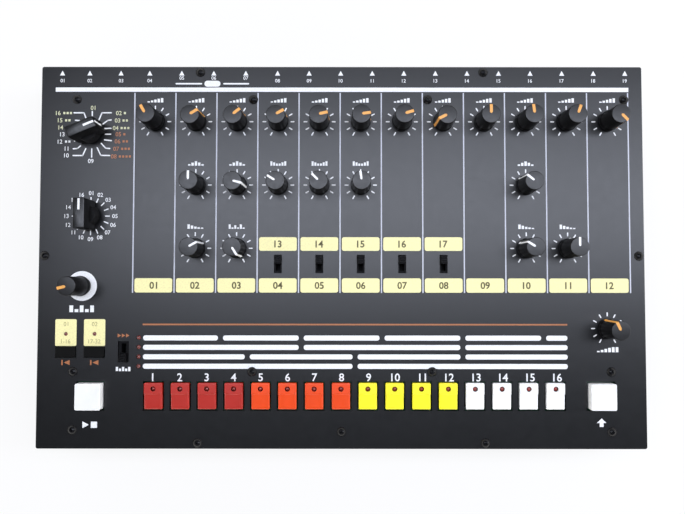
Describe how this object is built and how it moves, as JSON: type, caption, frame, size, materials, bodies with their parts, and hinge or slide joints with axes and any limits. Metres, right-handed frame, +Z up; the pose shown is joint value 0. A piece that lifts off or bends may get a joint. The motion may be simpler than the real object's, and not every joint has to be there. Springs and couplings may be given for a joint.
{
  "type": "drum machine",
  "caption": "Desktop drum machine: flat black panel with channel strips of knobs, rotary selectors, slide switches, coloured step keys with lamps, and sockets in the rear wall.",
  "frame": {"origin": "on the surface the feet stand on, under the middle of the front panel", "axes": "+X to the right along the panel's long side, +Y to the rear edge with the sockets, +Z up out of the panel"},
  "size_m": [0.434, 0.2761, 0.0885],
  "materials": {
    "panel_paint": "satin black powder coat",
    "tray_paint": "satin black powder coat",
    "circuit_board": "green solder mask",
    "control_housing": "grey moulded and plated housings",
    "socket_black": "black moulded sockets with dark nuts",
    "screw_black": "black oxide steel",
    "lamp_red": "deep red lamp",
    "foot_rubber": "black rubber",
    "knob_black": "black moulded knob",
    "lever_black": "black moulded lever",
    "key_red": "smooth red cap",
    "key_orange": "smooth orange cap",
    "key_yellow": "smooth yellow cap",
    "key_white": "smooth white cap",
    "key_clear": "clear cap over a white diffuser",
    "key_black": "smooth black cap"
  },
  "bodies": {
    "case": {"front_panel": "panel_paint", "case_tray": "tray_paint", "circuit_boards": "circuit_board", "control_bodies": "control_housing", "rear_sockets": "socket_black", "fasteners": "screw_black", "lamps": "lamp_red", "rubber_feet": "foot_rubber"},
    "level_knob_1": {"level_knob_1": "knob_black"},
    "level_knob_2": {"level_knob_2": "knob_black"},
    "level_knob_3": {"level_knob_3": "knob_black"},
    "level_knob_4": {"level_knob_4": "knob_black"},
    "level_knob_5": {"level_knob_5": "knob_black"},
    "level_knob_6": {"level_knob_6": "knob_black"},
    "level_knob_7": {"level_knob_7": "knob_black"},
    "level_knob_8": {"level_knob_8": "knob_black"},
    "level_knob_9": {"level_knob_9": "knob_black"},
    "level_knob_10": {"level_knob_10": "knob_black"},
    "level_knob_11": {"level_knob_11": "knob_black"},
    "level_knob_12": {"level_knob_12": "knob_black"},
    "middle_knob_2": {"middle_knob_2": "knob_black"},
    "middle_knob_3": {"middle_knob_3": "knob_black"},
    "middle_knob_4": {"middle_knob_4": "knob_black"},
    "middle_knob_5": {"middle_knob_5": "knob_black"},
    "middle_knob_6": {"middle_knob_6": "knob_black"},
    "middle_knob_10": {"middle_knob_10": "knob_black"},
    "lower_knob_2": {"lower_knob_2": "knob_black"},
    "lower_knob_3": {"lower_knob_3": "knob_black"},
    "lower_knob_10": {"lower_knob_10": "knob_black"},
    "lower_knob_11": {"lower_knob_11": "knob_black"},
    "tempo_knob": {"tempo_knob": "knob_black"},
    "master_knob": {"master_knob": "knob_black"},
    "mode_selector": {"mode_selector": "knob_black"},
    "voice_selector": {"voice_selector": "knob_black"},
    "sound_switch_4": {"sound_switch_4": "lever_black"},
    "sound_switch_5": {"sound_switch_5": "lever_black"},
    "sound_switch_6": {"sound_switch_6": "lever_black"},
    "sound_switch_7": {"sound_switch_7": "lever_black"},
    "sound_switch_8": {"sound_switch_8": "lever_black"},
    "bank_switch": {"bank_switch": "lever_black"},
    "step_key_1": {"step_key_1": "key_red"},
    "step_key_2": {"step_key_2": "key_red"},
    "step_key_3": {"step_key_3": "key_red"},
    "step_key_4": {"step_key_4": "key_red"},
    "step_key_5": {"step_key_5": "key_orange"},
    "step_key_6": {"step_key_6": "key_orange"},
    "step_key_7": {"step_key_7": "key_orange"},
    "step_key_8": {"step_key_8": "key_orange"},
    "step_key_9": {"step_key_9": "key_yellow"},
    "step_key_10": {"step_key_10": "key_yellow"},
    "step_key_11": {"step_key_11": "key_yellow"},
    "step_key_12": {"step_key_12": "key_yellow"},
    "step_key_13": {"step_key_13": "key_white"},
    "step_key_14": {"step_key_14": "key_white"},
    "step_key_15": {"step_key_15": "key_white"},
    "step_key_16": {"step_key_16": "key_white"},
    "start_key": {"start_key": "key_clear"},
    "shift_key": {"shift_key": "key_clear"},
    "black_key_1": {"black_key_1": "key_black"},
    "black_key_2": {"black_key_2": "key_black"}
  },
  "joints": [
    {"name": "level_knob_1_turn", "type": "hinge", "parent": "case", "child": "level_knob_1", "pos_m": [-0.13475, 0.097, 0.06], "axis": [0, 0, 1], "range_deg": [-180, 120]},
    {"name": "level_knob_2_turn", "type": "hinge", "parent": "case", "child": "level_knob_2", "pos_m": [-0.10505, 0.097, 0.06], "axis": [0, 0, 1], "range_deg": [-91, 209]},
    {"name": "level_knob_3_turn", "type": "hinge", "parent": "case", "child": "level_knob_3", "pos_m": [-0.07535, 0.097, 0.06], "axis": [0, 0, 1], "range_deg": [-98, 202]},
    {"name": "level_knob_4_turn", "type": "hinge", "parent": "case", "child": "level_knob_4", "pos_m": [-0.04565, 0.097, 0.06], "axis": [0, 0, 1], "range_deg": [-90, 210]},
    {"name": "level_knob_5_turn", "type": "hinge", "parent": "case", "child": "level_knob_5", "pos_m": [-0.01595, 0.097, 0.06], "axis": [0, 0, 1], "range_deg": [-73, 227]},
    {"name": "level_knob_6_turn", "type": "hinge", "parent": "case", "child": "level_knob_6", "pos_m": [0.01375, 0.097, 0.06], "axis": [0, 0, 1], "range_deg": [-68, 232]},
    {"name": "level_knob_7_turn", "type": "hinge", "parent": "case", "child": "level_knob_7", "pos_m": [0.04345, 0.097, 0.06], "axis": [0, 0, 1], "range_deg": [-77, 223]},
    {"name": "level_knob_8_turn", "type": "hinge", "parent": "case", "child": "level_knob_8", "pos_m": [0.07315, 0.097, 0.06], "axis": [0, 0, 1], "range_deg": [-266, 34]},
    {"name": "level_knob_9_turn", "type": "hinge", "parent": "case", "child": "level_knob_9", "pos_m": [0.10285, 0.097, 0.06], "axis": [0, 0, 1], "range_deg": [-150, 150]},
    {"name": "level_knob_10_turn", "type": "hinge", "parent": "case", "child": "level_knob_10", "pos_m": [0.13255, 0.097, 0.06], "axis": [0, 0, 1], "range_deg": [-158, 142]},
    {"name": "level_knob_11_turn", "type": "hinge", "parent": "case", "child": "level_knob_11", "pos_m": [0.16225, 0.097, 0.06], "axis": [0, 0, 1], "range_deg": [-130, 170]},
    {"name": "level_knob_12_turn", "type": "hinge", "parent": "case", "child": "level_knob_12", "pos_m": [0.19195, 0.097, 0.06], "axis": [0, 0, 1], "range_deg": [-15, 285]},
    {"name": "middle_knob_2_turn", "type": "hinge", "parent": "case", "child": "middle_knob_2", "pos_m": [-0.10505, 0.051, 0.06], "axis": [0, 0, 1], "range_deg": [-150, 150]},
    {"name": "middle_knob_3_turn", "type": "hinge", "parent": "case", "child": "middle_knob_3", "pos_m": [-0.07535, 0.051, 0.06], "axis": [0, 0, 1], "range_deg": [-46, 254]},
    {"name": "middle_knob_4_turn", "type": "hinge", "parent": "case", "child": "middle_knob_4", "pos_m": [-0.04565, 0.051, 0.06], "axis": [0, 0, 1], "range_deg": [-208, 92]},
    {"name": "middle_knob_5_turn", "type": "hinge", "parent": "case", "child": "middle_knob_5", "pos_m": [-0.01595, 0.051, 0.06], "axis": [0, 0, 1], "range_deg": [-195, 105]},
    {"name": "middle_knob_6_turn", "type": "hinge", "parent": "case", "child": "middle_knob_6", "pos_m": [0.01375, 0.051, 0.06], "axis": [0, 0, 1], "range_deg": [-158, 142]},
    {"name": "middle_knob_10_turn", "type": "hinge", "parent": "case", "child": "middle_knob_10", "pos_m": [0.13255, 0.051, 0.06], "axis": [0, 0, 1], "range_deg": [-202, 98]},
    {"name": "lower_knob_2_turn", "type": "hinge", "parent": "case", "child": "lower_knob_2", "pos_m": [-0.10505, 0.0054, 0.06], "axis": [0, 0, 1], "range_deg": [-90, 210]},
    {"name": "lower_knob_3_turn", "type": "hinge", "parent": "case", "child": "lower_knob_3", "pos_m": [-0.07535, 0.0054, 0.06], "axis": [0, 0, 1], "range_deg": [-2, 298]},
    {"name": "lower_knob_10_turn", "type": "hinge", "parent": "case", "child": "lower_knob_10", "pos_m": [0.13255, 0.0054, 0.06], "axis": [0, 0, 1], "range_deg": [-208, 92]},
    {"name": "lower_knob_11_turn", "type": "hinge", "parent": "case", "child": "lower_knob_11", "pos_m": [0.16225, 0.0054, 0.06], "axis": [0, 0, 1], "range_deg": [-150, 150]},
    {"name": "tempo_knob_turn", "type": "hinge", "parent": "case", "child": "tempo_knob", "pos_m": [-0.1858, -0.0217, 0.06], "axis": [0, 0, 1], "range_deg": [-254, 46]},
    {"name": "master_knob_turn", "type": "hinge", "parent": "case", "child": "master_knob", "pos_m": [0.1898, -0.0518, 0.06], "axis": [0, 0, 1], "range_deg": [-175, 125]},
    {"name": "mode_selector_turn", "type": "hinge", "parent": "case", "child": "mode_selector", "pos_m": [-0.1803, 0.0882, 0.06], "axis": [0, 0, 1], "continuous": true},
    {"name": "voice_selector_turn", "type": "hinge", "parent": "case", "child": "voice_selector", "pos_m": [-0.1803, 0.0285, 0.06], "axis": [0, 0, 1], "continuous": true},
    {"name": "sound_switch_4_slide", "type": "slide", "parent": "case", "child": "sound_switch_4", "axis": [0, 1, 0], "range_m": [-0.0063, 0]},
    {"name": "sound_switch_5_slide", "type": "slide", "parent": "case", "child": "sound_switch_5", "axis": [0, 1, 0], "range_m": [-0.0063, 0]},
    {"name": "sound_switch_6_slide", "type": "slide", "parent": "case", "child": "sound_switch_6", "axis": [0, 1, 0], "range_m": [-0.0063, 0]},
    {"name": "sound_switch_7_slide", "type": "slide", "parent": "case", "child": "sound_switch_7", "axis": [0, 1, 0], "range_m": [-0.0063, 0]},
    {"name": "sound_switch_8_slide", "type": "slide", "parent": "case", "child": "sound_switch_8", "axis": [0, 1, 0], "range_m": [-0.0063, 0]},
    {"name": "bank_switch_slide", "type": "slide", "parent": "case", "child": "bank_switch", "axis": [0, 1, 0], "range_m": [0, 0.0079]},
    {"name": "step_key_1_press", "type": "slide", "parent": "case", "child": "step_key_1", "axis": [0, 0, -1], "range_m": [0, 0.0015], "stiffness_N_per_m": 300, "springref_m": -0.003},
    {"name": "step_key_2_press", "type": "slide", "parent": "case", "child": "step_key_2", "axis": [0, 0, -1], "range_m": [0, 0.0015], "stiffness_N_per_m": 300, "springref_m": -0.003},
    {"name": "step_key_3_press", "type": "slide", "parent": "case", "child": "step_key_3", "axis": [0, 0, -1], "range_m": [0, 0.0015], "stiffness_N_per_m": 300, "springref_m": -0.003},
    {"name": "step_key_4_press", "type": "slide", "parent": "case", "child": "step_key_4", "axis": [0, 0, -1], "range_m": [0, 0.0015], "stiffness_N_per_m": 300, "springref_m": -0.003},
    {"name": "step_key_5_press", "type": "slide", "parent": "case", "child": "step_key_5", "axis": [0, 0, -1], "range_m": [0, 0.0015], "stiffness_N_per_m": 300, "springref_m": -0.003},
    {"name": "step_key_6_press", "type": "slide", "parent": "case", "child": "step_key_6", "axis": [0, 0, -1], "range_m": [0, 0.0015], "stiffness_N_per_m": 300, "springref_m": -0.003},
    {"name": "step_key_7_press", "type": "slide", "parent": "case", "child": "step_key_7", "axis": [0, 0, -1], "range_m": [0, 0.0015], "stiffness_N_per_m": 300, "springref_m": -0.003},
    {"name": "step_key_8_press", "type": "slide", "parent": "case", "child": "step_key_8", "axis": [0, 0, -1], "range_m": [0, 0.0015], "stiffness_N_per_m": 300, "springref_m": -0.003},
    {"name": "step_key_9_press", "type": "slide", "parent": "case", "child": "step_key_9", "axis": [0, 0, -1], "range_m": [0, 0.0015], "stiffness_N_per_m": 300, "springref_m": -0.003},
    {"name": "step_key_10_press", "type": "slide", "parent": "case", "child": "step_key_10", "axis": [0, 0, -1], "range_m": [0, 0.0015], "stiffness_N_per_m": 300, "springref_m": -0.003},
    {"name": "step_key_11_press", "type": "slide", "parent": "case", "child": "step_key_11", "axis": [0, 0, -1], "range_m": [0, 0.0015], "stiffness_N_per_m": 300, "springref_m": -0.003},
    {"name": "step_key_12_press", "type": "slide", "parent": "case", "child": "step_key_12", "axis": [0, 0, -1], "range_m": [0, 0.0015], "stiffness_N_per_m": 300, "springref_m": -0.003},
    {"name": "step_key_13_press", "type": "slide", "parent": "case", "child": "step_key_13", "axis": [0, 0, -1], "range_m": [0, 0.0015], "stiffness_N_per_m": 300, "springref_m": -0.003},
    {"name": "step_key_14_press", "type": "slide", "parent": "case", "child": "step_key_14", "axis": [0, 0, -1], "range_m": [0, 0.0015], "stiffness_N_per_m": 300, "springref_m": -0.003},
    {"name": "step_key_15_press", "type": "slide", "parent": "case", "child": "step_key_15", "axis": [0, 0, -1], "range_m": [0, 0.0015], "stiffness_N_per_m": 300, "springref_m": -0.003},
    {"name": "step_key_16_press", "type": "slide", "parent": "case", "child": "step_key_16", "axis": [0, 0, -1], "range_m": [0, 0.0015], "stiffness_N_per_m": 300, "springref_m": -0.003},
    {"name": "start_key_press", "type": "slide", "parent": "case", "child": "start_key", "axis": [0, 0, -1], "range_m": [0, 0.002], "stiffness_N_per_m": 300, "springref_m": -0.004},
    {"name": "shift_key_press", "type": "slide", "parent": "case", "child": "shift_key", "axis": [0, 0, -1], "range_m": [0, 0.002], "stiffness_N_per_m": 300, "springref_m": -0.004},
    {"name": "black_key_1_press", "type": "slide", "parent": "case", "child": "black_key_1", "axis": [0, 0, -1], "range_m": [0, 0.001], "stiffness_N_per_m": 400, "springref_m": -0.002},
    {"name": "black_key_2_press", "type": "slide", "parent": "case", "child": "black_key_2", "axis": [0, 0, -1], "range_m": [0, 0.001], "stiffness_N_per_m": 400, "springref_m": -0.002}
  ]
}
